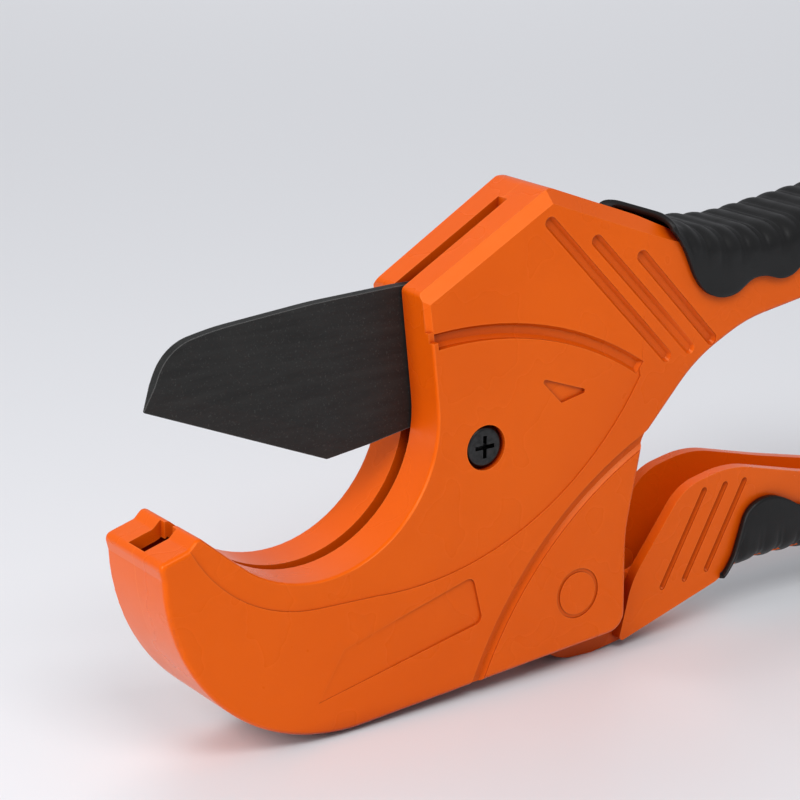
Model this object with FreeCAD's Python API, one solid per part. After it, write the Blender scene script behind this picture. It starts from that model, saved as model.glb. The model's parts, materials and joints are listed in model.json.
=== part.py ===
import FreeCAD, Part
import math

# Ratchet pipe cutter. Side profiles are drawn in X and Z around the blade pivot, X from the jaw's
# nose to the handle ends and Z up. Y runs across the tool: the near side is -Y, the shells meet at 0.
# The finished solids are moved so that the origin is under the middle of the tool, on its base.

# --- where the blade pivot stands over the origin
PIVOT_X = -51.0
PIVOT_Z = 62.6

# --- body shells
HALF_BODY = 13.0
WALL = 3.0
HALF_CAVITY = 9.0
HALF_SLOT = 1.75
MOUTH = (-45.5, 9.0)
MOUTH_R = 32.0
JAW = (-38.5, -13.5)
JAW_R = 47.9
NOSE_TOP = (-87.3, -10.6)
NOSE_STEP = (-79.6, -8.4)
NOSE_CREST = (-77.2, -6.0)
FRONT_TOP = (-16.4, 38.4)
APEX = (19.6, 58.8)
BODY_CORNER = (43.4, -55.3)
HANDLE_END_X = 187.0
EDGE_ROUND = 1.2
TOP_CHAMFER = 2.6
RIDGE_CHAMFER = 3.4

# --- blade
HALF_BLADE = 1.25
TIP_R = 85.5
TIP_ANGLE = 166.4
BLADE_HEEL = (-36.0, 0.6)
HUB_R = 11.0
SLEEVE_R = 4.0
TOOTH_PITCH = 6.0
TOOTH_TIP_R = 32.5
TOOTH_ROOT_R = 30.3
DRIVE_TOOTH_ANGLE = -19.5
FIRST_TOOTH = DRIVE_TOOTH_ANGLE - 7 * TOOTH_PITCH
TOOTH_COUNT = 20
BEVEL_WIDTH = 6.0
EDGE_HALF = 0.15

# --- pivot fasteners
SCREW_R = 3.0
SCREW_HEAD_R = 5.0
SCREW_HEAD_HEIGHT = 3.0
COUNTERBORE_R = 5.5
COUNTERBORE_DEPTH = 3.8
NUT_FLATS = 10.0
NUT_HEIGHT = 3.2
WASHER_R = 8.0
WASHER_THICK = 0.8

# --- lever
LEVER_PIVOT = (33.0, -48.0)
TONGUE_R = 14.5
HALF_LEVER = 9.5
LEVER_WALL = 3.0
CHEEK_OUT = 6.55
CHEEK_IN = 3.6
HALF_OPENING = 7.0
LEVER_PIN_R = 3.0
LEVER_PIN_HALF = 10.5
LEVER_WASHER_THICK = 0.4
LEVER_BOSS_R = 6.5

# --- pawls
PAWL_HALF = 1.4
PAWL_PIN_R = 1.75
PAWL_BOSS_R = 3.5
PAWL_CLEAR = 0.35
DRIVE_PIN = (41.0, -44.5)
HOLD_PIN = (41.0, -3.0)
HOLD_TOOTH_ANGLE = DRIVE_TOOTH_ANGLE + 6 * TOOTH_PITCH
HOLD_PIN_HALF = 9.9

# --- lock hook at the handle ends
HOOK_PIVOT = (165.0, -47.0)
HOOK_HALF = 1.5
HOOK_HUB_R = 3.2
HOOK_STOWED = 170.0
LOCK_PIN = (152.0, 31.5)
LOCK_PIN_R = 1.5
LEVER_CLOSED = 22.0

# --- fasteners that close the shells, put in from the far side
SHELL_SCREWS = [(-58.0, -41.0), (-14.0, -46.0), (24.5, 36.8), (73.0, 19.5), (176.0, 37.0)]
SHELL_SCREW_R = 2.0
SHELL_HEAD_R = 3.4
SHELL_HEAD_HEIGHT = 2.4
SHELL_HEAD_SINK = 3.0
SHELL_BOSS_R = 4.2
STOP_PIN = (-5.8, -24.3)
STOP_PIN_R = 2.0

# --- general fits
RUN = 0.05
GRIP_THICK = 2.0
HALF_LEVER_GRIP = 12.0
GROOVE_DEPTH = 1.2


def vec(x, z, y=0.0):
    return FreeCAD.Vector(x, y, z)


def polar(centre, radius, degrees):
    a = math.radians(degrees)
    return (centre[0] + radius * math.cos(a), centre[1] + radius * math.sin(a))


def angle_of(centre, point):
    return math.degrees(math.atan2(point[1] - centre[1], point[0] - centre[0]))


def tangent_angle(centre, radius, point, side):
    """Where the line from a point touches a circle, on the side +1 (counter-clockwise) or -1."""
    far = math.hypot(point[0] - centre[0], point[1] - centre[1])
    return angle_of(centre, point) + side * math.degrees(math.acos(radius / far))


def outline(items):
    """A closed wire in X and Z at Y = 0. An item is a corner (x, z, round radius) or an arc
    (x, z, radius, start angle, end angle) around (x, z)."""
    ends = []
    for item in items:
        if len(item) == 5:
            ends.append((polar(item, item[2], item[3]), polar(item, item[2], item[4])))
        else:
            ends.append((item[:2], item[:2]))
    edges = []
    knots = []
    for i, item in enumerate(items):
        if len(item) == 5:
            middle = polar(item, item[2], (item[3] + item[4]) / 2)
            knots.append((ends[i][0], middle, ends[i][1]))
            continue
        here = FreeCAD.Vector(item[0], 0, item[1])
        before = ends[i - 1][1]
        after = ends[(i + 1) % len(items)][0]
        to_before = FreeCAD.Vector(before[0], 0, before[1]).sub(here).normalize()
        to_after = FreeCAD.Vector(after[0], 0, after[1]).sub(here).normalize()
        half = to_before.getAngle(to_after) / 2
        if item[2] == 0 or math.pi / 2 - half < 1e-4:
            knots.append((item[:2], None, item[:2]))
            continue
        back = item[2] / math.tan(half)
        first = here + to_before * back
        last = here + to_after * back
        bisector = (to_before + to_after).normalize()
        middle = here + bisector * (item[2] / math.sin(half) - item[2])
        knots.append(((first.x, first.z), (middle.x, middle.z), (last.x, last.z)))
    for i, knot in enumerate(knots):
        if knot[1]:
            edges.append(Part.Arc(vec(*knot[0]), vec(*knot[1]), vec(*knot[2])).toShape())
        start = vec(*knot[2])
        end = vec(*knots[(i + 1) % len(knots)][0])
        if start.distanceToPoint(end) > 1e-6:
            edges.append(Part.makeLine(start, end))
    return Part.Wire(edges)


def slab(wire, y0, y1):
    """A flat solid: the area inside a wire, from y0 to y1."""
    face = Part.Face(wire)
    face.translate(FreeCAD.Vector(0, y0, 0))
    return face.extrude(FreeCAD.Vector(0, y1 - y0, 0))


def rod(centre, radius, y0, y1):
    return Part.makeCylinder(radius, y1 - y0, vec(centre[0], centre[1], y0), FreeCAD.Vector(0, 1, 0))


def hexagon(centre, flats, y0, y1):
    points = [polar(centre, flats / math.sqrt(3), 60 * i) for i in range(6)]
    return slab(outline([(x, z, 0) for x, z in points]), y0, y1)


def bar(start, end, width, y0, y1):
    """A flat bar with round ends between two points."""
    along = angle_of(start, end)
    half = width / 2
    wire = outline(
        [
            (start[0], start[1], half, along + 270, along + 90),
            (end[0], end[1], half, along + 90, along - 90),
        ]
    )
    return slab(wire, y0, y1)


def mirrored(shape):
    return shape.mirror(FreeCAD.Vector(0, 0, 0), FreeCAD.Vector(0, 1, 0))


def export(name, solids):
    """Write one sub-part, moved from the pivot's frame to the tool's own origin."""
    shape = Part.makeCompound(solids) if len(solids) > 1 else solids[0]
    shape = shape.copy()
    shape.translate(FreeCAD.Vector(PIVOT_X, 0, PIVOT_Z))
    shape.exportStep("parts/" + name + ".step")


# --- body profile ---------------------------------------------------------------------------------


def handle_core():
    """The corners of the fixed handle, from the top of the head round to the body's right edge."""
    return [
        (46.0, 48.8, 30),
        (63.0, 40.9, 30),
        (84.0, 39.0, 60),
        (112.0, 42.0, 120),
        (150.0, 45.4, 120),
        (HANDLE_END_X, 45.8, 9),
        (HANDLE_END_X, 26.4, 8),
        (150.0, 26.0, 120),
        (104.0, 21.8, 80),
        (80.0, 18.2, 40),
        (64.0, 10.6, 40),
        (48.0, -6.3, 8),
        (43.2, -30.0, 40),
    ]


def body_items():
    mouth_start = tangent_angle(MOUTH, MOUTH_R, NOSE_CREST, +1)
    mouth_end = tangent_angle(MOUTH, MOUTH_R, FRONT_TOP, -1)
    jaw_start = tangent_angle(JAW, JAW_R, BODY_CORNER, -1)
    return (
        [
            NOSE_TOP + (1.8,),
            NOSE_STEP + (1.5,),
            NOSE_CREST + (1.5,),
            MOUTH + (MOUTH_R, mouth_start + 360, mouth_end + 360),
            FRONT_TOP + (1.5,),
            APEX + (4.0,),
        ]
        + handle_core()
        + [
            BODY_CORNER + (5.0,),
            JAW + (JAW_R, jaw_start + 360, 181.0),
        ]
    )


BODY = outline(body_items())
CAVITY = Part.Face(BODY).makeOffset2D(-WALL).OuterWire


def engraved(wire, depth, face_y=-HALF_BODY):
    """A cutter that sinks a sloping-walled mark into a near side face at face_y."""
    tool = slab(wire, face_y - 3.0, face_y + depth)
    floor = [e for e in tool.Edges if abs(e.BoundBox.YMin - face_y - depth) < 1e-6]
    return tool.makeChamfer(depth * 0.7, floor)


def groove(start, end, width, face_y=-HALF_BODY):
    along = angle_of(start, end)
    half = width / 2
    wire = outline(
        [
            start + (half, along + 270, along + 90),
            end + (half, along + 90, along - 90),
        ]
    )
    return engraved(wire, GROOVE_DEPTH, face_y)


def arc_groove(centre, radius, width, start, end):
    half = width / 2
    wire = outline(
        [
            centre + (radius + half, start, end),
            centre + (radius - half, end, start),
        ]
    )
    return engraved(wire, GROOVE_DEPTH)


# The upper face leans in toward the mouth. It starts above a long arc that a groove marks.
LEAN_ARC = (-5.5, -62.1)
LEAN_ARC_R = 90.0
LEAN_HINGE_X = 48.0
LEAN_IN = 1.9
FRONT_X = -16.0


def leaned(tool):
    """Turn a cutter about the upright line where the upper face meets the flat of the body."""
    turn = math.degrees(math.asin(LEAN_IN / (LEAN_HINGE_X - FRONT_X)))
    tool.rotate(vec(LEAN_HINGE_X, 0, -HALF_BODY), FreeCAD.Vector(0, 0, 1), -turn)
    return tool


def upper_lean():
    wire = outline(
        [
            LEAN_ARC + (LEAN_ARC_R, 103.0, 54.8),
            (LEAN_HINGE_X, 70.0, 0),
            (-26.0, 70.0, 0),
        ]
    )
    return leaned(slab(wire, -HALF_BODY - 6.0, -HALF_BODY))


def edge_cutter(start, end, size, face_y, over=0.0):
    """A wedge that takes a 45 degree bevel off the outer edge along start-end."""
    along = vec(end[0] - start[0], end[1] - start[1]).normalize()
    outward = FreeCAD.Vector(-along.z, 0, along.x)
    begin = vec(start[0], start[1], face_y) - along * over
    length = math.dist(start, end) + 2 * over
    out = outward * 4
    near_side = FreeCAD.Vector(0, -4, 0)
    corners = [
        begin - outward * size + near_side,
        begin - outward * size,
        begin + FreeCAD.Vector(0, size, 0),
        begin + FreeCAD.Vector(0, size, 0) + out,
        begin + out + near_side,
    ]
    return Part.Face(Part.makePolygon(corners + corners[:1])).extrude(along * length)


def side_marks():
    """The grooves and shallow marks on a side face."""
    marks = [
        leaned(groove((18.4, 50.9), (54.0, 13.4), 3.2)),
        leaned(groove((32.0, 44.9), (61.4, 14.2), 3.2)),
        groove((45.6, 39.4), (68.4, 15.4), 3.2),
        arc_groove((89.0, -96.5), 98.6, 3.4, 160.0, 113.0),
    ]
    wedge_mark = outline([(15.0, 14.4, 0.6), (30.8, 8.7, 0.6), (22.1, 7.0, 0.6)])
    marks.append(slab(wedge_mark, -HALF_BODY - 1.0, -HALF_BODY + 1.0))
    band = arc_groove(LEAN_ARC, LEAN_ARC_R, 3.5, 95.3, 55.2)
    marks.append(leaned(band))
    ring = rod((28.0, -42.5), 6.4, -HALF_BODY - 1, -HALF_BODY + 0.35)
    marks.append(ring.cut(rod((28.0, -42.5), 5.4, -HALF_BODY - 2, 0)))
    panel = slab(
        outline([(-3.6, -31.0, 2), (-0.6, -43.2, 2), (-47.0, -52.6, 0), (-40.0, -41.0, 0)]),
        -HALF_BODY - 5.0,
        -HALF_BODY,
    )
    panel.rotate(vec(-58.0, 0, -HALF_BODY), FreeCAD.Vector(0, 0, 1), 0.55)
    marks.append(panel)
    return marks


def mouth_margin():
    """A hair-deep step that follows the mouth and then sweeps up to the handle."""
    wire = outline(
        [
            MOUTH + (38.5, 196.0, 268.0),
            (-24.0, 51.0, 81.3, 265.0, 329.5),
            LEAN_ARC + (LEAN_ARC_R + 0.7, 56.0, 102.0),
            (-100.0, 20.0, 0),
        ]
    )
    return slab(wire, -HALF_BODY - 1.0, -HALF_BODY + 0.3)


def shell_blank():
    """The outside of the near half, before it is hollowed."""
    blank = slab(BODY, -HALF_BODY, 0)
    rim = [e for e in blank.Edges if e.BoundBox.YMax < -HALF_BODY + 1e-6]
    blank = blank.makeFillet(EDGE_ROUND, rim).cut(upper_lean())
    front_foot = (-15.3, 29.6)
    bevels = [
        edge_cutter(front_foot, FRONT_TOP, EDGE_ROUND, -HALF_BODY),
        edge_cutter(FRONT_TOP, APEX, TOP_CHAMFER, -HALF_BODY, 8.0),
        edge_cutter(APEX, handle_core()[0][:2], RIDGE_CHAMFER, -HALF_BODY, 14.0),
    ]
    return blank.cut([leaned(tool) for tool in bevels])


def slot_zone():
    """Where the blade passes through the walls: along the mouth, up the front and over the slope."""
    points = [
        (-77.2, 10),
        (-77.2, -14),
        (-66, -26),
        (-45, -31),
        (-20, -24),
        (-4, -6),
        (-4, 30),
        (13.6, 46),
        (13.6, 75),
        (-77.2, 75),
    ]
    zone = slab(outline([(x, z, 0) for x, z in points]), -HALF_SLOT, 1)
    tip_path = slab(
        outline([(0, 0, TIP_R + 0.7, 174.0, 206.0), (0, 0, 68.0, 206.0, 174.0)]), -HALF_SLOT, 1
    )
    pocket = slab(
        outline([(-85.8, -4, 0), (-85.8, -17, 0), (-77.6, -17, 0), (-77.6, -4, 0)]), -3.6, 1
    )
    return [zone, tip_path, pocket]


def shell_half():
    """The near half of the body, up to the fasteners that differ from side to side."""
    half = shell_blank().cut(slab(CAVITY, -HALF_CAVITY, 1))
    posts = [rod(place, SHELL_BOSS_R, -HALF_CAVITY, 0) for place in SHELL_SCREWS]
    posts.append(rod((0, 0), WASHER_R, -HALF_CAVITY, -HALF_BLADE - WASHER_THICK - 2 * RUN))
    posts.append(
        rod(LEVER_PIVOT, LEVER_BOSS_R, -HALF_CAVITY, -CHEEK_OUT - LEVER_WASHER_THICK - 2 * RUN)
    )
    posts.append(rod(HOLD_PIN, PAWL_BOSS_R, -HALF_CAVITY, -CHEEK_IN - RUN))
    posts.append(rod(STOP_PIN, 3.6, -HALF_CAVITY, -HALF_SLOT))
    half = half.multiFuse(posts)
    lever_way = slab(
        outline(
            [
                (19.2, -70, 0),
                (19.2, -51.5, 0),
                (36, -51.5, 0),
                (36, -33.5, 0),
                (58, -33.5, 0),
                (58, -70, 0),
            ]
        ),
        -HALF_OPENING,
        1,
    )
    pawl_way = slab(outline([(36, -36, 0), (50, -36, 0), (50, -24, 0), (36, -24, 0)]), -2.2, 1)
    hook_way = slab(
        outline([(131, 20, 0), (160, 20, 0), (160, 31.5, 0), (131, 31.5, 0)]), -2.6, 1
    )
    holes = [
        rod((0, 0), SLEEVE_R + 0.02, -6, 1),
        rod((0, 0), SCREW_R + 0.2, -20, 1),
        rod(LEVER_PIVOT, LEVER_PIN_R + 0.02, -LEVER_PIN_HALF - 0.1, 1),
        rod(HOLD_PIN, PAWL_PIN_R + 0.02, -HOLD_PIN_HALF - 0.1, 1),
        rod(STOP_PIN, STOP_PIN_R + 0.02, -HOLD_PIN_HALF - 0.1, 1),
        rod(LOCK_PIN, LOCK_PIN_R + 0.02, -HOLD_PIN_HALF - 0.1, 1),
    ]
    ways = slot_zone() + [lever_way, pawl_way, hook_way]
    return half.cut(ways + holes + side_marks() + [mouth_margin()])


def body_shells():
    half = shell_half()
    near_cuts = [rod((0, 0), COUNTERBORE_R, -20, -HALF_BODY + COUNTERBORE_DEPTH)]
    near_cuts += [rod(place, SHELL_SCREW_R + RUN, -8, 1) for place in SHELL_SCREWS]
    near = half.cut(near_cuts)
    far_cuts = [hexagon((0, 0), NUT_FLATS + 0.2, HALF_BODY - NUT_HEIGHT - 0.4, 20)]
    for place in SHELL_SCREWS:
        far_cuts.append(rod(place, SHELL_SCREW_R + 0.2, -1, 20))
        far_cuts.append(rod(place, SHELL_HEAD_R + 0.3, HALF_BODY - SHELL_HEAD_SINK, 20))
    far = mirrored(half).cut(far_cuts)
    return near, far


def blade():
    """The curved-back blade with its toothed sector; teeth push it shut."""
    tip = polar((0, 0), TIP_R, TIP_ANGLE)
    last = FIRST_TOOTH + TOOTH_COUNT * TOOTH_PITCH
    items = [
        tip + (0.4,),
        BLADE_HEEL + (1.0,),
        (0, 0, HUB_R, 152.0, 360 + FIRST_TOOTH),
    ]
    for k in range(TOOTH_COUNT):
        face = FIRST_TOOTH + k * TOOTH_PITCH
        items.append(polar((0, 0), TOOTH_TIP_R, face) + (0,))
        items.append(polar((0, 0), TOOTH_TIP_R - 0.15, face + 0.8) + (0,))
        items.append(polar((0, 0), TOOTH_ROOT_R, face + TOOTH_PITCH) + (0,))
    items += [
        (2.0, 38.5, 15.0),
        (-16.7, 38.9, 60.0),
        (-40.0, 38.2, 120.0),
        (-65.0, 36.2, 60.0),
        (-77.3, 33.9, 12.0),
    ]
    plate = slab(outline(items), -HALF_BLADE, HALF_BLADE)
    bevels = [edge_bevel(tip, BLADE_HEEL, side) for side in (-1, 1)]
    return plate.cut(bevels + [rod((0, 0), SLEEVE_R + RUN, -5, 5)])


def edge_bevel(tip, heel, side):
    """A wedge that grinds one side of the cutting edge; side -1 is the near one."""
    along = vec(heel[0] - tip[0], heel[1] - tip[1]).normalize()
    inward = FreeCAD.Vector(-along.z, 0, along.x)
    begin = vec(*tip) - along * 6
    length = math.dist(tip, heel) + 20.0
    y_edge = FreeCAD.Vector(0, side * EDGE_HALF, 0)
    y_face = FreeCAD.Vector(0, side * HALF_BLADE, 0)
    y_far = FreeCAD.Vector(0, side * 4, 0)
    slope = (HALF_BLADE - EDGE_HALF) / BEVEL_WIDTH
    corners = [
        begin + y_edge - inward * 1.0 - FreeCAD.Vector(0, side * slope, 0),
        begin + y_face + inward * BEVEL_WIDTH,
        begin + y_far + inward * BEVEL_WIDTH,
        begin + y_far - inward * 1.0,
    ]
    return Part.Face(Part.makePolygon(corners + corners[:1])).extrude(along * length)


def washers(centre, outer, inner, thick, y_out):
    """A washer on each side, with its outer face at y_out."""
    left = rod(centre, outer, -y_out, -y_out + thick).cut(rod(centre, inner, -20, 20))
    return [left, mirrored(left)]


def phillips_screw(centre, radius, head_r, head_height, head_y, length):
    """A pan-head screw with its head on the near side, and a cross recess."""
    head = rod(centre, head_r, head_y, head_y + head_height)
    rim = [e for e in head.Edges if abs(e.BoundBox.YMax - head_y) < 1e-6]
    head = head.makeFillet(min(1.0, head_height * 0.45), rim)
    shank = rod(centre, radius, head_y + head_height - 0.1, head_y + head_height + length)
    x, z = centre
    arm = head_r * 0.55
    wide = head_r * 0.11
    deep = head_height * 0.6
    cross = []
    for a, b in ((arm, wide), (wide, arm)):
        corners = [(x - a, z - b, 0), (x + a, z - b, 0), (x + a, z + b, 0), (x - a, z + b, 0)]
        cross.append(slab(outline(corners), head_y - 1, head_y + deep))
    return head.fuse(shank).cut(cross)


def nut(centre, flats, y0, y1, bore):
    body = hexagon(centre, flats, y0, y1)
    rounding = rod(centre, flats / 2 * 1.13, y0, y1)
    return body.common(rounding).cut(rod(centre, bore, y0 - 1, y1 + 1))


def lever_side():
    """The side view of the lever's channel."""
    items = [
        (44.3, -60.6, 1.0),
        (48.2, -45.0, 20.0),
        (64.5, -23.6, 14.0),
        (80.0, -20.6, 30.0),
        (104.5, -27.0, 60.0),
        (150.0, -37.5, 60.0),
        (186.0, -40.0, 8.0),
        (186.0, -58.5, 8.0),
        (150.0, -54.5, 90.0),
        (112.0, -47.2, 60.0),
        (84.0, -46.8, 6.0),
        (76.0, -51.2, 3.0),
    ]
    return outline(items)


def lever():
    """The squeezed handle: an open-topped channel that narrows to two cheeks at its pivot."""
    wire = lever_side()
    shell = slab(wire, -HALF_LEVER, HALF_LEVER)
    room = slab(
        Part.Face(wire).makeOffset2D(-LEVER_WALL).OuterWire,
        -HALF_LEVER + LEVER_WALL,
        HALF_LEVER - LEVER_WALL,
    )
    # the room is carried up and out, so the channel is open along its top
    lifted = room.copy()
    lifted.translate(vec(-4, 12))
    upper = room.copy()
    upper.translate(vec(-2, 6))
    far_up = room.copy()
    far_up.translate(vec(-6, 20))
    shell = shell.cut([room, upper, lifted, far_up])
    cheek = outline(
        [
            LEVER_PIVOT + (TONGUE_R, 100.0, 262.0),
            (38.0, -62.6, 6.0),
            (46.5, -61.4, 1.0),
            (58.0, -58.5, 3.0),
            (60.0, -40.0, 3.0),
            (52.0, -44.0, 3.0),
            (49.5, -44.4, 1.5),
            (46.0, -41.5, 4.0),
        ]
    )
    cheeks = []
    for y0, y1 in ((-CHEEK_OUT, -CHEEK_IN), (CHEEK_IN, CHEEK_OUT)):
        cheeks.append(slab(cheek, y0, y1))
    whole = shell.multiFuse(cheeks)
    holes = [
        rod(LEVER_PIVOT, LEVER_PIN_R + RUN, -20, 20),
        rod(DRIVE_PIN, PAWL_PIN_R + RUN, -20, 20),
        rod(HOOK_PIVOT, 1.5 + 0.02, -20, 20),
        slab(outline([(47, -56.8, 0), (66, -51.2, 0), (66, -20, 0), (40, -20, 0)]), -CHEEK_IN, CHEEK_IN),
    ]
    scores = []
    for start, end in (
        ((71.1, -25.6), (58.2, -48.7)),
        ((78.1, -25.4), (65.5, -48.1)),
        ((84.6, -25.6), (72.8, -47.0)),
    ):
        cut = groove(start, end, 1.8, -HALF_LEVER)
        scores += [cut, mirrored(cut)]
    return whole.cut(holes + scores)


def pawl(pin, tip):
    """A pawl on its pin, with a beak that reaches in toward the blade's axis at its tip."""
    out = angle_of((0, 0), tip)

    def from_tip(outward, back):
        place = polar(tip, outward, out)
        return polar(place, back, out - 90)

    toward = angle_of(pin, tip)
    outer = polar(pin, PAWL_BOSS_R - 0.1, toward - 90)
    inner = polar(pin, PAWL_BOSS_R - 0.1, toward + 90)
    corners = [
        outer + (0,),
        from_tip(5.2, 3.6) + (2.0,),
        from_tip(3.4, 0.9) + (0.8,),
        tip + (0.3,),
        from_tip(2.6, 3.0) + (0.8,),
        inner + (0,),
    ]
    arm = slab(outline(corners), -PAWL_HALF, PAWL_HALF)
    hub = rod(pin, PAWL_BOSS_R, -PAWL_HALF, CHEEK_IN - 0.1)
    return hub.fuse(arm).cut(rod(pin, PAWL_PIN_R + RUN, -5, 5))


def coil(centre, mean, wire, turns, y0, start_angle, leg_a, leg_b):
    """A torsion spring on a Y axis: close coils with a straight leg at each end."""
    pitch = wire * 1.12
    helix = Part.makeHelix(pitch, pitch * turns, mean)
    helix.rotate(FreeCAD.Vector(0, 0, 0), FreeCAD.Vector(0, 0, 1), start_angle)
    helix.rotate(FreeCAD.Vector(0, 0, 0), FreeCAD.Vector(1, 0, 0), -90)
    helix.translate(vec(centre[0], centre[1], y0 + wire / 2))
    first = helix.Edges[0]
    last = helix.Edges[-1]
    start = first.valueAt(first.FirstParameter)
    end = last.valueAt(last.LastParameter)
    start_along = first.tangentAt(first.FirstParameter)
    end_along = last.tangentAt(last.LastParameter)
    leg_in = Part.makeLine(start - start_along * leg_a, start)
    leg_out = Part.makeLine(end, end + end_along * leg_b)
    path = Part.Wire([leg_in] + helix.Edges + [leg_out])
    ring = Part.Wire(Part.makeCircle(wire / 2, start - start_along * leg_a, start_along))
    return path.makePipeShell([ring], True, True)


def lock_hook():
    """The locking hook, folded into the lever. Its notch fits the lock pin when the lever is shut."""
    # where the hook's pivot comes to when the lever is squeezed shut
    arm = math.dist(LEVER_PIVOT, HOOK_PIVOT)
    shut = polar(LEVER_PIVOT, arm, angle_of(LEVER_PIVOT, HOOK_PIVOT) + LEVER_CLOSED)
    reach = math.dist(shut, LOCK_PIN)
    x, z = HOOK_PIVOT
    side = [
        (x + 2.2, z - 3.0, 1.0),
        (x + reach - 6, z - 2.6, 3.0),
        (x + reach - 2.1, z - 4.2, 0.5),
        (x + reach - 2.1, z + 2.2, 1.2),
        (x + reach + 2.1, z + 2.2, 1.2),
        (x + reach + 2.1, z - 4.2, 0.5),
        (x + reach + 4.8, z - 3.6, 1.0),
        (x + reach + 4.8, z + 4.6, 3.0),
        (x + reach - 4, z + 4.6, 3.0),
        (x + 8, z + 2.6, 6.0),
        (x, z + 3.0, 1.0),
    ]
    strip = slab(outline(side), -HOOK_HALF, HOOK_HALF)
    hub = rod(HOOK_PIVOT, HOOK_HUB_R, -6.3, 6.3)
    hook = hub.fuse(strip).cut(rod(HOOK_PIVOT, LOCK_PIN_R + RUN, -9, 9))
    hook.rotate(vec(*HOOK_PIVOT), FreeCAD.Vector(0, -1, 0), HOOK_STOWED)
    return hook


def upper_grip_side():
    """The side view of the fixed handle's rubber sleeve."""
    return outline(
        [
            (54.0, 48.3, 0.8),
            (58.0, 46.5, 20.0),
            (64.3, 43.6, 40.0),
            (84.0, 41.7, 60.0),
            (112.0, 44.6, 120.0),
            (150.0, 48.0, 120.0),
            (189.0, 48.4, 9.0),
            (189.0, 24.0, 7.0),
            (177.0, 24.6, 4.0),
            (171.0, 33.0, 6.0),
            (150.0, 33.8, 60.0),
            (112.0, 31.4, 60.0),
            (97.0, 30.4, 6.0),
            (91.0, 27.6, 8.0),
            (82.5, 29.6, 8.0),
            (72.0, 24.8, 8.0),
            (62.3, 29.2, 10.0),
            (56.2, 43.2, 6.0),
            (53.6, 46.6, 0.8),
        ]
    )


def upper_grip():
    """The sleeve on the fixed handle: a saddle over the top that closes at the end."""
    half = HALF_BODY + GRIP_THICK
    sleeve = slab(upper_grip_side(), -half, half)
    core = Part.Face(BODY).makeOffset2D(0.02).OuterWire
    return sleeve.cut(slab(core, -HALF_BODY - 0.02, HALF_BODY + 0.02))


def lever_grip():
    """The rubber cover of the lever: an open-topped sleeve."""
    outer = outline(
        [
            (74.8, -50.9, 1.0),
            (80.5, -46.0, 3.0),
            (84.5, -33.5, 5.0),
            (93.0, -30.3, 5.0),
            (104.0, -35.5, 10.0),
            (150.0, -43.0, 60.0),
            (176.0, -44.0, 5.0),
            (181.0, -36.5, 4.0),
            (189.0, -37.0, 5.0),
            (189.0, -62.4, 10.0),
            (150.0, -57.0, 90.0),
            (112.0, -49.8, 60.0),
            (90.0, -49.0, 20.0),
        ]
    )
    sleeve = slab(outer, -HALF_LEVER_GRIP, HALF_LEVER_GRIP)
    core = Part.Face(lever_side()).makeOffset2D(0.02).OuterWire
    return sleeve.cut(slab(core, -HALF_LEVER - 0.02, HALF_LEVER + 0.02))


near, far = body_shells()
export("near_body_shell", near.Solids)
export("far_body_shell", far.Solids)
export("blade", [blade()])
washer_face = HALF_BLADE + WASHER_THICK + RUN
export("blade_washers", washers((0, 0), WASHER_R, SLEEVE_R + 0.1, WASHER_THICK, washer_face))

# the blade's pivot: a screw through a sleeve, with its nut sunk in the far side
seat = -HALF_BODY + COUNTERBORE_DEPTH
screw = phillips_screw((0, 0), SCREW_R, SCREW_HEAD_R, SCREW_HEAD_HEIGHT, seat - SCREW_HEAD_HEIGHT, 21.6)
export("pivot_screw", [screw])
export("pivot_sleeve", [rod((0, 0), SLEEVE_R, -5.9, 5.9).cut(rod((0, 0), SCREW_R + RUN, -7, 7))])
nut_seat = HALF_BODY - NUT_HEIGHT - 0.35
export("pivot_nut", [nut((0, 0), NUT_FLATS, nut_seat, nut_seat + NUT_HEIGHT, SCREW_R + RUN)])

export("lever", [lever()])
export("lever_pin", [rod(LEVER_PIVOT, LEVER_PIN_R, -LEVER_PIN_HALF, LEVER_PIN_HALF)])
export(
    "lever_washers",
    washers(LEVER_PIVOT, 6.0, LEVER_PIN_R + 0.1, LEVER_WASHER_THICK, CHEEK_OUT + LEVER_WASHER_THICK + RUN),
)
export("lever_return_spring", [coil(LEVER_PIVOT, 4.4, 1.2, 3, -2.6, 200.0, 7.0, 5.0)])

drive_tip = polar((0, 0), TOOTH_TIP_R + PAWL_CLEAR, DRIVE_TOOTH_ANGLE)
hold_tip = polar((0, 0), TOOTH_TIP_R + PAWL_CLEAR + 0.05, HOLD_TOOTH_ANGLE + 0.9)
export("drive_pawl", [pawl(DRIVE_PIN, drive_tip)])
export("drive_pawl_pin", [rod(DRIVE_PIN, PAWL_PIN_R, -CHEEK_OUT + 0.05, CHEEK_OUT - 0.05)])
export("drive_pawl_spring", [coil(DRIVE_PIN, 2.35, 0.6, 2, -3.5, 60.0, 2.5, 2.0)])
export("holding_pawl", [pawl(HOLD_PIN, hold_tip)])
export("holding_pawl_pin", [rod(HOLD_PIN, PAWL_PIN_R, -HOLD_PIN_HALF, HOLD_PIN_HALF)])
export("holding_pawl_spring", [coil(HOLD_PIN, 2.35, 0.6, 2, -3.5, 60.0, 2.5, 2.0)])
export("blade_stop_pin", [rod(STOP_PIN, STOP_PIN_R, -HOLD_PIN_HALF, HOLD_PIN_HALF)])

screws = []
for place in SHELL_SCREWS:
    made = phillips_screw(
        place,
        SHELL_SCREW_R,
        SHELL_HEAD_R,
        SHELL_HEAD_HEIGHT,
        -HALF_BODY + SHELL_HEAD_SINK - SHELL_HEAD_HEIGHT,
        17.0,
    )
    screws.append(mirrored(made))
export("shell_screws", screws)

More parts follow.
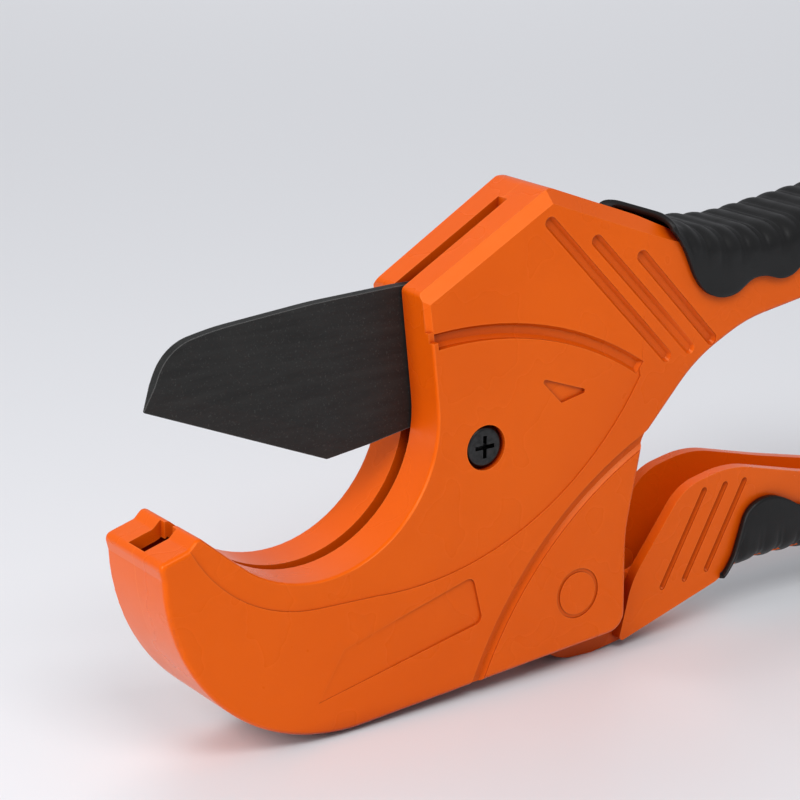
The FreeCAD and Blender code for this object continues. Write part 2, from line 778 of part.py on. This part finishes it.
export("lock_hook", [lock_hook()])
export("lock_hook_pin", [rod(HOOK_PIVOT, LOCK_PIN_R, -HALF_LEVER + 0.05, HALF_LEVER - 0.05)])
export("lock_pin", [rod(LOCK_PIN, LOCK_PIN_R, -HOLD_PIN_HALF, HOLD_PIN_HALF)])

export("upper_grip", [upper_grip()])
export("lever_grip", [lever_grip()])
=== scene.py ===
"""Looks for the ratchet pipe cutter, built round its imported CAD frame."""

import json
import math

import bmesh
import bpy
from mathutils import Matrix, Vector


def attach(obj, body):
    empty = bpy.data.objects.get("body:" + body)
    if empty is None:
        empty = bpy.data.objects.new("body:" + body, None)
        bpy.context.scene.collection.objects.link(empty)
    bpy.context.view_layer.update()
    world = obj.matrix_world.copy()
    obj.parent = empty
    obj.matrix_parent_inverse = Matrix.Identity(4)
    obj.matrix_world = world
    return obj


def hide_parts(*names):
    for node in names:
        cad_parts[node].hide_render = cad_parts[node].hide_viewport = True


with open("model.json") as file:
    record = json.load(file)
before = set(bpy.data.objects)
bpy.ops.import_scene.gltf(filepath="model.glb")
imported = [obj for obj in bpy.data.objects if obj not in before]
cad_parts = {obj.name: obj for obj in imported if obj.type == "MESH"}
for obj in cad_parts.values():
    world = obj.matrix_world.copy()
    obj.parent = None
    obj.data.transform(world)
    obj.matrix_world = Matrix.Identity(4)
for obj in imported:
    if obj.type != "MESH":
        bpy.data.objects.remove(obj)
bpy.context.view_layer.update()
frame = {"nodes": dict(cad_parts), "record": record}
nodes = frame["nodes"]

MM = 0.001
# The blade's pivot axis in the part's own frame: the drawings below are measured from it.
PIVOT = Vector((-51.0, 0.0, 62.6)) * MM


def at(x, z, y=0.0):
    return PIVOT + Vector((x, y, z)) * MM


# --- materials ------------------------------------------------------------------------------------


class Nodes:
    """A small helper that adds and links shader nodes."""

    def __init__(self, name):
        self.material = bpy.data.materials.new(name)
        self.material.use_nodes = True
        self.tree = self.material.node_tree
        self.shader = self.tree.nodes["Principled BSDF"]
        self.place = self.add("ShaderNodeTexCoord").outputs["Object"]

    def add(self, kind, **values):
        node = self.tree.nodes.new(kind)
        for key, value in values.items():
            setattr(node, key, value)
        return node

    def link(self, source, target):
        self.tree.links.new(source, target)

    def noise(self, scale, detail=2.0, stretch=None):
        node = self.add("ShaderNodeTexNoise")
        node.inputs["Scale"].default_value = scale
        node.inputs["Detail"].default_value = detail
        source = self.place
        if stretch:
            turn = self.add("ShaderNodeMapping")
            turn.inputs["Scale"].default_value = stretch
            self.link(source, turn.inputs["Vector"])
            source = turn.outputs["Vector"]
        self.link(source, node.inputs["Vector"])
        return node.outputs["Fac"]

    def ramp(self, source, low, high, out_low=0.0, out_high=1.0):
        node = self.add("ShaderNodeMapRange")
        for name, value in (
            ("From Min", low),
            ("From Max", high),
            ("To Min", out_low),
            ("To Max", out_high),
        ):
            node.inputs[name].default_value = value
        self.link(source, node.inputs["Value"])
        return node.outputs["Result"]

    def mix(self, factor, first, second):
        """A blend of two colours, each a tuple or another node's output."""
        node = self.add("ShaderNodeMix", data_type="RGBA")
        self.link(factor, node.inputs["Factor"])
        for name, value in (("A", first), ("B", second)):
            socket = [s for s in node.inputs if s.name == name and s.type == "RGBA"][0]
            if isinstance(value, tuple):
                socket.default_value = (*value, 1.0)
            else:
                self.link(value, socket)
        return [s for s in node.outputs if s.type == "RGBA"][0]

    def edge_mask(self, radius, low=0.02, high=0.18):
        """1 along the edges of the shape, 0 on its open faces."""
        bevel = self.add("ShaderNodeBevel", samples=4)
        bevel.inputs["Radius"].default_value = radius
        plain = self.add("ShaderNodeNewGeometry").outputs["Normal"]
        dot = self.add("ShaderNodeVectorMath", operation="DOT_PRODUCT")
        self.link(bevel.outputs["Normal"], dot.inputs[0])
        self.link(plain, dot.inputs[1])
        return self.ramp(dot.outputs["Value"], 1.0 - low, 1.0 - high)

    def bump(self, height, distance, strength):
        node = self.add("ShaderNodeBump")
        node.inputs["Distance"].default_value = distance
        node.inputs["Strength"].default_value = strength
        self.link(height, node.inputs["Height"])
        self.link(node.outputs["Normal"], self.shader.inputs["Normal"])

    def set(self, **values):
        """Sets inputs of the shader, with _ for each space in their names."""
        for key, value in values.items():
            self.shader.inputs[key.replace("_", " ")].default_value = value


def paint(name):
    """Glossy powder coat in orange: faint orange peel, a painted highlight that pales its edges, and
    painted shade that darkens its recesses to a deep red.
    """
    m = Nodes(name)
    tone = m.ramp(m.noise(22.0, 3.0), 0.35, 0.65)
    base = m.mix(tone, (0.725, 0.096, 0.0010), (0.770, 0.108, 0.0015))
    speck = m.ramp(m.noise(1500.0, 1.0), 0.72, 0.84, 0.0, 0.25)
    base = m.mix(speck, base, (0.80, 0.17, 0.02))
    # Painted highlight: the edges that the bevel node finds are blended towards a paler orange.
    edge_highlight = m.edge_mask(0.0006)
    base = m.mix(m.ramp(edge_highlight, 0.0, 1.0, 0.0, 0.30), base, (0.90, 0.24, 0.04))
    # Painted shade: where the AO node finds the surface hemmed in, the colour goes towards a deep,
    # dark red.
    recess_shade = m.add("ShaderNodeAmbientOcclusion", samples=8)
    recess_shade.inputs["Distance"].default_value = 0.008
    base = m.mix(m.ramp(recess_shade.outputs["AO"], 0.15, 0.90), (0.26, 0.008, 0.001), base)
    m.link(base, m.shader.inputs["Base Color"])
    m.link(m.ramp(m.noise(60.0, 2.0), 0.3, 0.7, 0.24, 0.32), m.shader.inputs["Roughness"])
    m.bump(m.noise(420.0, 2.0), 0.00006, 0.35)
    m.set(Specular_IOR_Level=0.40, Specular_Tint=(1.0, 0.55, 0.25, 1.0))
    return m.material


def coated_steel(name):
    """Black non-stick coating on ground steel, with faint streaks and a painted highlight of lighter
    grey along its edges.
    """
    m = Nodes(name)
    streak = m.ramp(m.noise(60.0, 4.0, stretch=(1.0, 1.0, 9.0)), 0.35, 0.7)
    base = m.mix(streak, (0.011, 0.011, 0.0105), (0.018, 0.018, 0.017))
    speck = m.ramp(m.noise(2200.0, 1.0), 0.62, 0.75, 0.0, 0.5)
    base = m.mix(speck, base, (0.055, 0.055, 0.052))
    # Painted highlight: the edges are blended towards a lighter grey.
    edge = m.edge_mask(0.0004)
    base = m.mix(m.ramp(edge, 0.0, 1.0, 0.0, 0.8), base, (0.16, 0.16, 0.155))
    m.link(base, m.shader.inputs["Base Color"])
    m.link(m.ramp(m.noise(300.0, 3.0), 0.3, 0.7, 0.44, 0.56), m.shader.inputs["Roughness"])
    m.bump(m.noise(1800.0, 2.0), 0.00004, 0.4)
    m.set(Specular_IOR_Level=0.25)
    return m.material


def bare_steel(name, dark, light, rough, stretch=(1.0, 8.0, 1.0)):
    """Turned or drawn steel with fine lines across it and a painted highlight on its edges."""
    m = Nodes(name)
    lines = m.ramp(m.noise(900.0, 3.0, stretch=stretch), 0.3, 0.7)
    base = m.mix(lines, (dark,) * 3, (light,) * 3)
    # Painted highlight: the edges are blended towards a lighter grey than the rest.
    edge = m.edge_mask(0.0003)
    base = m.mix(m.ramp(edge, 0.0, 1.0, 0.0, 0.5), base, (min(1.0, light * 1.8),) * 3)
    m.link(base, m.shader.inputs["Base Color"])
    m.link(m.ramp(lines, 0.0, 1.0, rough - 0.06, rough + 0.06), m.shader.inputs["Roughness"])
    m.bump(lines, 0.00002, 0.4)
    m.set(Metallic=1.0)
    return m.material


def rubber(name):
    """Moulded black rubber with a fine grain and a painted highlight that makes its edges and high
    spots greyer.
    """
    m = Nodes(name)
    tone = m.ramp(m.noise(35.0, 3.0), 0.35, 0.65)
    base = m.mix(tone, (0.006, 0.006, 0.006), (0.010, 0.010, 0.010))
    # Painted highlight: the edges and high spots are blended towards grey.
    edge = m.edge_mask(0.0008, 0.03, 0.25)
    base = m.mix(m.ramp(edge, 0.0, 1.0, 0.0, 0.45), base, (0.035, 0.035, 0.034))
    m.link(base, m.shader.inputs["Base Color"])
    m.link(m.ramp(m.noise(180.0, 3.0), 0.3, 0.7, 0.36, 0.50), m.shader.inputs["Roughness"])
    m.bump(m.noise(1600.0, 3.0), 0.00005, 0.5)
    m.set(Specular_IOR_Level=0.25)
    return m.material


LOOKS = {
    "body_paint": paint("paint_orange"),
    "blade_coat": coated_steel("coating_black"),
    "black_steel": bare_steel("steel_blackened", 0.030, 0.055, 0.34),
    "bright_steel": bare_steel("steel_bright", 0.42, 0.58, 0.28),
    "spring_steel": bare_steel("steel_spring", 0.22, 0.34, 0.32),
    "grip_rubber": rubber("rubber_black"),
}

for part in frame["record"]["subparts"]:
    obj = nodes[part["node"]]
    for slot in obj.material_slots:
        slot.material = LOOKS[part["material_slot"]]

# --- grips ----------------------------------------------------------------------------------------


def curve_through(points):
    """A smooth height over X through the given points, held level outside them."""

    def slope(i):
        if i == 0 or i == len(points) - 1:
            return 0.0
        (xa, za), (xb, zb) = points[i - 1], points[i + 1]
        return (zb - za) / (xb - xa)

    def height(x):
        if x <= points[0][0]:
            return points[0][1]
        if x >= points[-1][0]:
            return points[-1][1]
        i = max(k for k in range(len(points) - 1) if points[k][0] <= x)
        (xa, za), (xb, zb) = points[i], points[i + 1]
        span = xb - xa
        t = (x - xa) / span
        a = (2 * t**3 - 3 * t**2 + 1) * za + (t**3 - 2 * t**2 + t) * span * slope(i)
        b = (-2 * t**3 + 3 * t**2) * zb + (t**3 - t**2) * span * slope(i + 1)
        return a + b

    return height


def lobes(x):
    """Broad rounded ribs with a small bead between each two, from 0 to 1 high."""
    t = (x / RIB_PITCH) % 1.0
    broad = 1.0 - BEAD_SHARE
    if t < broad:
        return math.sin(math.pi * t / broad) ** RIB_FULLNESS
    return 0.5 * math.sin(math.pi * (t - broad) / BEAD_SHARE)


def smooth(t):
    t = min(1.0, max(0.0, t))
    return t * t * (3 - 2 * t)


# The covers, in mm
WALL = 1.6
ROW_LENGTH = 0.55  # from one row of points to the next along the handle
SIDE_ROWS, SHOULDER_ROWS, CROWN_ROWS = 14, 10, 8
SHOULDER_TALL = 6.0  # the rounding between a side and the crown
SHOULDER_WIDE = SHOULDER_TALL * 1.3
SHOULDER_TALLEST = 0.96  # of the height from skirt to crown
SHOULDER_WIDEST = 0.9  # of the half width
LEAST_REACH = 0.4  # the crown stays this far from the skirt
QUARTER_TURN = 1.57
SIDE_TUCK = 0.5  # the skin stands this far in from the half width,
SIDE_SWELL = 0.35  # and swells out by this much half way up its sides

# Their ribs
RIB_PITCH = 6.5
RIB_DEPTH = 0.95
RIB_FULLNESS = 0.55  # 1 is a sine wave, less is fuller
RIB_FADE = 5.0  # the ribs set in and die out over this length
RIB_BOW = 0.0006
BEAD_SHARE = 0.27  # of the pitch
PLAIN_FRONT, PLAIN_BACK = 6.0, 9.0  # the lengths without ribs

# The raised rim round their front
RIM_WIDTH = 1.3
RIM_HEIGHT = 0.9
RIM_STEP = 0.9  # length of the step down behind the rim
RIM_RUNOUT = 3.0  # length round the start of the ribs over which the step ends


class Grip:
    """A rubber cover lofted along a handle: a saddle whose crown is up or down.

    The share of a point is how far up it is, from 0 at the skirt to 1 at the top of the shoulder.
    """

    def __init__(self, name, crown, skirt, half, up, span):
        self.name = name
        self.crown = crown
        self.skirt = skirt
        self.half = half
        self.sign = 1 if up else -1
        self.span = span
        self.rib_from = span[0] + PLAIN_FRONT
        self.rib_to = span[1] - PLAIN_BACK

    def section(self, x, inset):
        """Points (y, z, share) from the near skirt over the crown to the far skirt."""
        crown = self.crown(x) - self.sign * inset
        skirt = self.skirt(x)
        half = self.half - inset
        reach = max(LEAST_REACH, self.sign * (crown - skirt))
        bend = min(SHOULDER_TALL, reach * SHOULDER_TALLEST, half * SHOULDER_WIDEST)
        bend_across = min(SHOULDER_WIDE, half * SHOULDER_WIDEST)
        side = reach - bend
        flat = half - bend_across
        full = side + bend * QUARTER_TURN
        points = []
        for i in range(SIDE_ROWS + 1):
            t = i / SIDE_ROWS
            points.append((-half, skirt + self.sign * side * t, side * t / full))
        for i in range(1, SHOULDER_ROWS + 1):
            a = math.radians(90 * i / SHOULDER_ROWS)
            y = -half + bend_across * (1 - math.cos(a))
            z = crown - self.sign * bend * (1 - math.sin(a))
            points.append((y, z, (side + bend * a) / full))
        for i in range(1, CROWN_ROWS + 1):
            t = i / CROWN_ROWS
            points.append((-flat * (1 - t), crown, (full + flat * t) / full))
        return points + [(-y, z, share) for y, z, share in reversed(points[:-1])]

    def sunk(self, x, y, share):
        """How far the skin stands in from its outermost line."""
        ends = smooth((x - self.rib_from) / RIB_FADE) * smooth((self.rib_to - x) / RIB_FADE)
        ribs = RIB_DEPTH * (1.0 - lobes(x + RIB_BOW * y * y)) * ends
        behind_rim = smooth((x - self.span[0] - RIM_WIDTH) / RIM_STEP)
        step = RIM_HEIGHT * behind_rim * smooth((self.rib_from - x) / RIM_RUNOUT + 0.5)
        return ribs * smooth((share - 0.30) / 0.45) + step * smooth((share - 0.10) / 0.20)

    def outer(self, x):
        """Points (y, z) of the ribbed skin, sunk sideways on the sides and upright on the crown."""
        points = []
        for y, z, share in self.section(x, 0.0):
            down = self.sunk(x, y, share)
            upright = smooth((share - 0.45) / 0.40)
            tuck = SIDE_TUCK - SIDE_SWELL * math.sin(math.pi * min(1.0, share))
            if y:
                y -= math.copysign(down * (1 - upright) + tuck, y)
            points.append((y, z - self.sign * down * upright))
        return points

    def inner(self, x):
        """Points (y, z) of the plain skin against the handle."""
        section = self.section(x, WALL)
        return [(y - math.copysign(SIDE_TUCK, y) if y else y, z) for y, z, _ in section]

    def build(self):
        mesh = bmesh.new()
        start, stop = self.span
        count = int((stop - start) / ROW_LENGTH)
        stations = [start + (stop - start) * i / count for i in range(count + 1)]
        outer, inner = (
            [[mesh.verts.new(at(x, z, y)) for y, z in skin(x)] for x in stations]
            for skin in (self.outer, self.inner)
        )
        last = len(outer[0]) - 1
        for i in range(count):
            for rows in (outer, inner):
                for j in range(last):
                    mesh.faces.new([rows[i][j], rows[i][j + 1], rows[i + 1][j + 1], rows[i + 1][j]])
            for j in (0, last):
                mesh.faces.new([outer[i][j], outer[i + 1][j], inner[i + 1][j], inner[i][j]])
        for i in (0, count):
            for j in range(last):
                mesh.faces.new([outer[i][j], inner[i][j], inner[i][j + 1], outer[i][j + 1]])
        return finish_mesh(self.name, mesh)


def finish_mesh(name, mesh):
    """Turns all faces outward and makes a smooth rubber object of the mesh."""
    bmesh.ops.recalc_face_normals(mesh, faces=mesh.faces)
    data = bpy.data.meshes.new(name)
    mesh.to_mesh(data)
    mesh.free()
    for polygon in data.polygons:
        polygon.use_smooth = True
    obj = bpy.data.objects.new(name, data)
    bpy.context.scene.collection.objects.link(obj)
    data.materials.append(LOOKS["grip_rubber"])
    return obj


# The ends of the grips, in mm
CAP_RINGS, CAP_SIDES = 18, 48
CAP_ROUND = 7.0  # length of the rounding at the end,
CAP_ROUND_TALL, CAP_ROUND_WIDE = 6.0, 5.0  # and how far it comes in
CAP_POWER = 2.6  # of the superellipse that rounds the end off
SQUARE_Y, SQUARE_Z = 0.45, 0.55  # 1 is an ellipse, less is squarer


def end_cap(name, low, high, half, span):
    """The closed end of a grip: a block with a squarish section, rounded off at its far end."""
    mesh = bmesh.new()
    start, stop = span
    middle = (low + high) / 2
    rings = []
    for i in range(CAP_RINGS + 1):
        x = start + (stop - start) * (i / CAP_RINGS)
        end = min(1.0, max(0.0, (x - stop + CAP_ROUND) / CAP_ROUND))
        come_in = 1 - (1 - end**CAP_POWER) ** (1 / CAP_POWER)
        tall = (high - low) / 2 - CAP_ROUND_TALL * come_in
        wide = half - CAP_ROUND_WIDE * come_in
        ring = []
        for k in range(CAP_SIDES):
            a = 2 * math.pi * k / CAP_SIDES
            c, s = math.cos(a), math.sin(a)
            y = wide * math.copysign(abs(c) ** SQUARE_Y, c)
            z = middle + tall * math.copysign(abs(s) ** SQUARE_Z, s)
            ring.append(mesh.verts.new(at(x, z, y)))
        rings.append(ring)
    for a, b in zip(rings, rings[1:]):
        for k in range(CAP_SIDES):
            after = (k + 1) % CAP_SIDES
            mesh.faces.new([a[k], a[after], b[after], b[k]])
    mesh.faces.new(rings[0])
    mesh.faces.new(rings[-1])
    return finish_mesh(name, mesh)


# Heights over X of each cover's crown and skirt, measured from the pivot
upper_crown = curve_through(
    [(54, 48.2), (58, 46.4), (64.3, 43.9), (74, 42.4), (84, 41.7), (92, 42.2), (104, 43.5),
     (125, 45.7), (150, 47.9), (189, 48.3)]
)
upper_skirt = curve_through(
    [(54, 44.6), (54.7, 43.9), (56.5, 41.8), (58.8, 38.2), (61.7, 32.2), (65, 28.2),
     (69.7, 26.0), (74.9, 26.3), (80, 29.1), (84.3, 29.3), (89.7, 27.9), (93.4, 28.4), (97, 30.4),
     (110, 31.6), (150, 33.8), (168, 33.4), (175, 30.6), (180, 29.6)]
)
lever_crown = curve_through(
    [(76, -51.3), (80, -50.4), (90, -49.1), (112, -49.9), (150, -57.0), (180, -61.4), (189, -62.0)]
)
lever_skirt = curve_through(
    [(76, -50.2), (80.5, -45.5), (82.5, -40.0), (84.5, -34.4), (88, -31.6), (93, -31.0), (98, -32.6),
     (104, -35.7), (125, -39.4), (150, -43.0), (172, -44.2), (178, -43.0), (182, -42.6)]
)

upper = Grip("upper_grip_cover", upper_crown, upper_skirt, 15.0, True, (54.0, 181.0)).build()
upper_end = end_cap("upper_grip_end", 24.6, 48.3, 14.9, (177.0, 188.9))
lower = Grip("lever_grip_cover", lever_crown, lever_skirt, 12.0, False, (77.5, 181.0)).build()
lower_end = end_cap("lever_grip_end", -61.9, -37.6, 11.9, (179.0, 188.9))
for piece, body, node in (
    (upper, "body", "upper_grip"),
    (upper_end, "body", "upper_grip"),
    (lower, "squeeze_lever", "lever_grip"),
    (lower_end, "squeeze_lever", "lever_grip"),
):
    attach(piece, body)
    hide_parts(node)

# --- stage, light and camera ----------------------------------------------------------------------

scene = bpy.context.scene

FLOOR_SIZE = 24.0  # wide enough that low views don't see its edge
bpy.ops.mesh.primitive_plane_add(size=FLOOR_SIZE, location=(0, 1.5, 0))
floor = bpy.context.object
floor.name = "floor"
floor_look = bpy.data.materials.new("floor_pale")
floor_look.use_nodes = True
floor_shader = floor_look.node_tree.nodes["Principled BSDF"]
floor_shader.inputs["Base Color"].default_value = (0.75, 0.76, 0.785, 1)
floor_shader.inputs["Roughness"].default_value = 0.35
floor_shader.inputs["Specular IOR Level"].default_value = 0.3
floor.data.materials.append(floor_look)

world = bpy.data.worlds.new("studio")
world.use_nodes = True
sky = world.node_tree.nodes["Background"]
sky.inputs["Color"].default_value = (0.94, 0.95, 1.0, 1)
sky.inputs["Strength"].default_value = 0.42
scene.world = world


# What the lights aim at: the middle of the tool
MIDDLE = (0.0, 0.0, 0.06)


def softbox(name, place, size, power):
    data = bpy.data.lights.new(name, "AREA")
    data.shape = "RECTANGLE"
    data.size, data.size_y = size
    data.energy = power
    obj = bpy.data.objects.new(name, data)
    scene.collection.objects.link(obj)
    obj.location = place
    obj.rotation_euler = (Vector(place) - Vector(MIDDLE)).to_track_quat("Z", "Y").to_euler()
    return obj


softbox("key", (-0.90, -0.25, 0.60), (0.6, 0.6), 7.0)
softbox("front", (-0.20, -0.80, 1.12), (0.7, 0.5), 6.8)
backdrop_light = softbox("backdrop", (0.9, 1.6, 1.4), (1.6, 1.4), 20.0)
backdrop_light.visible_glossy = False

# The camera of the photo: turned to the tool's left, tilted down at it, on a long lens
CAMERA_TURN = math.radians(-34.7)
CAMERA_TILT = math.radians(17.2)
CAMERA_SPOT = PIVOT + Vector((-330.7, -455.1, 182.5)) * MM
SENSOR, LENS = 36.0, 112.5

data = bpy.data.cameras.new("camera")
data.sensor_width = SENSOR
data.lens = LENS
data.clip_start = 0.01
camera = bpy.data.objects.new("camera", data)
scene.collection.objects.link(camera)
sa, ca = math.sin(CAMERA_TURN), math.cos(CAMERA_TURN)
se, ce = math.sin(CAMERA_TILT), math.cos(CAMERA_TILT)
right = Vector((ca, sa, 0))
up = Vector((-sa * se, ca * se, ce))
back = Vector((sa * ce, -ca * ce, se))
facing = Matrix((right, up, back)).transposed().to_4x4()
camera.matrix_world = Matrix.Translation(CAMERA_SPOT) @ facing
scene.camera = camera
scene.view_settings.view_transform = "Standard"
